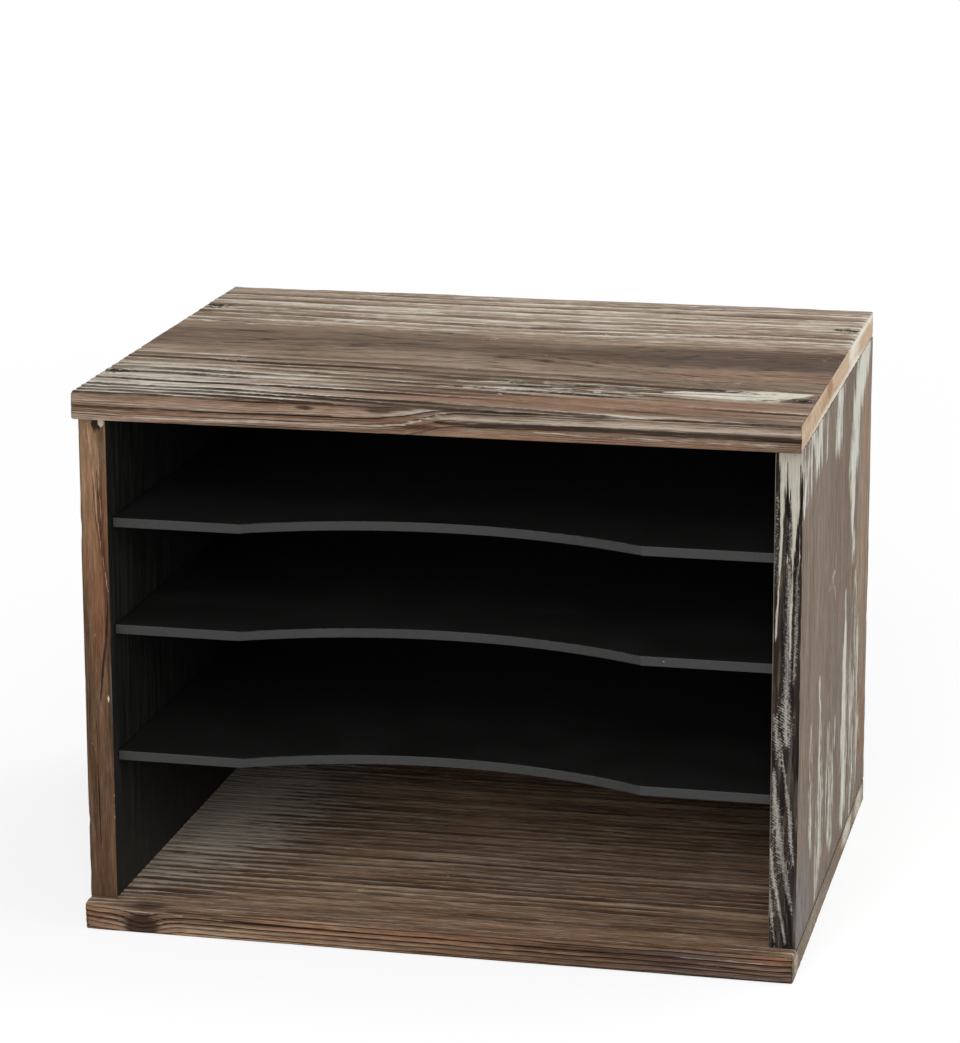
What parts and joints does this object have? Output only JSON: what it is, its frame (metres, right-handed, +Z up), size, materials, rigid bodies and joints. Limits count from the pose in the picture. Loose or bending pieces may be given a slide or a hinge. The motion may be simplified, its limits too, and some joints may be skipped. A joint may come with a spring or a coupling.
{
  "type": "letter holder",
  "caption": "Open-fronted desktop letter holder: a nailed box of torched wood boards with a black back and black pull-out shelves that have scooped front edges.",
  "frame": {"origin": "on the resting face, under the middle of the bottom board", "axes": "+X to the right along the front, +Y from the open front to the back, +Z up"},
  "size_m": [0.36, 0.284, 0.278],
  "materials": {
    "torched_wood": "torched and wire-brushed softwood, brown with a worn grey-white wash in the grain",
    "black_board": "thin fibreboard under satin black paint",
    "black_pin": "steel pin under black enamel",
    "nail_steel": "dull darkened steel"
  },
  "bodies": {
    "box": {"top_board": "torched_wood", "bottom_board": "torched_wood", "left_side": "torched_wood", "right_side": "torched_wood", "back_panel": "black_board", "top_nails": "nail_steel", "bottom_nails": "nail_steel", "back_nails": "nail_steel", "upper_shelf_pins": "black_pin", "middle_shelf_pins": "black_pin", "lower_shelf_pins": "black_pin"},
    "upper_shelf": {"upper_shelf": "black_board"},
    "middle_shelf": {"middle_shelf": "black_board"},
    "lower_shelf": {"lower_shelf": "black_board"}
  },
  "joints": [
    {"name": "upper_shelf_slide", "type": "slide", "parent": "box", "child": "upper_shelf", "axis": [0, -1, 0], "range_m": [0, 0.28]},
    {"name": "middle_shelf_slide", "type": "slide", "parent": "box", "child": "middle_shelf", "axis": [0, -1, 0], "range_m": [0, 0.28]},
    {"name": "lower_shelf_slide", "type": "slide", "parent": "box", "child": "lower_shelf", "axis": [0, -1, 0], "range_m": [0, 0.28]}
  ]
}
